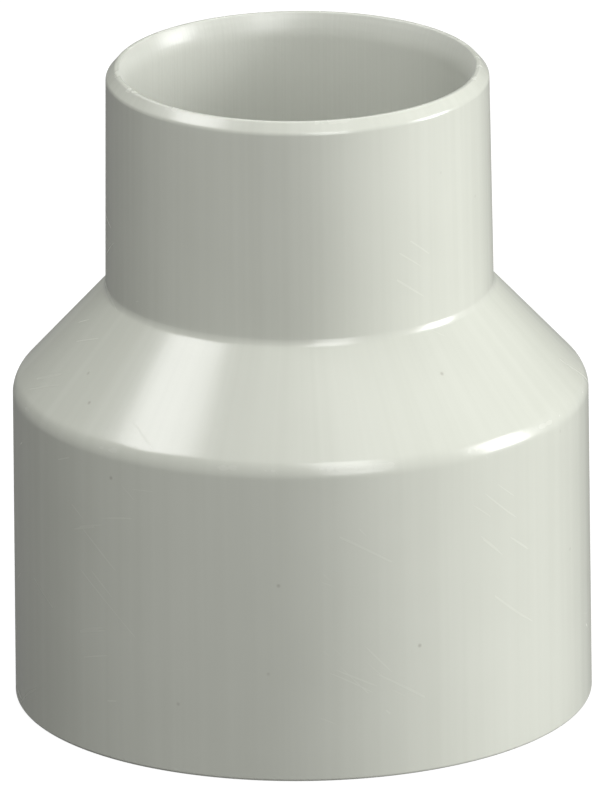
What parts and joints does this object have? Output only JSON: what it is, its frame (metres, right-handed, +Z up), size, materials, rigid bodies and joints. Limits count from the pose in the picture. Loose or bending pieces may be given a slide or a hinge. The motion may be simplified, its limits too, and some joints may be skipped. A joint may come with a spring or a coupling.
{
  "type": "concentric reducer",
  "caption": "Straight concentric reducing socket in moulded plastic, with a large pipe socket below, a conical shoulder and a smaller pipe socket above.",
  "frame": {"origin": "centre of the large mouth, in the plane of its flat rim", "axes": "+Z up the flow axis to the small mouth; X and Y are free, because the part is round"},
  "size_m": [0.085, 0.085, 0.0961],
  "materials": {
    "moulded_plastic": "off-white moulded PVC-U with a soft satin gloss"
  },
  "bodies": {
    "root": {"reducer_body": "moulded_plastic"}
  },
  "joints": []
}
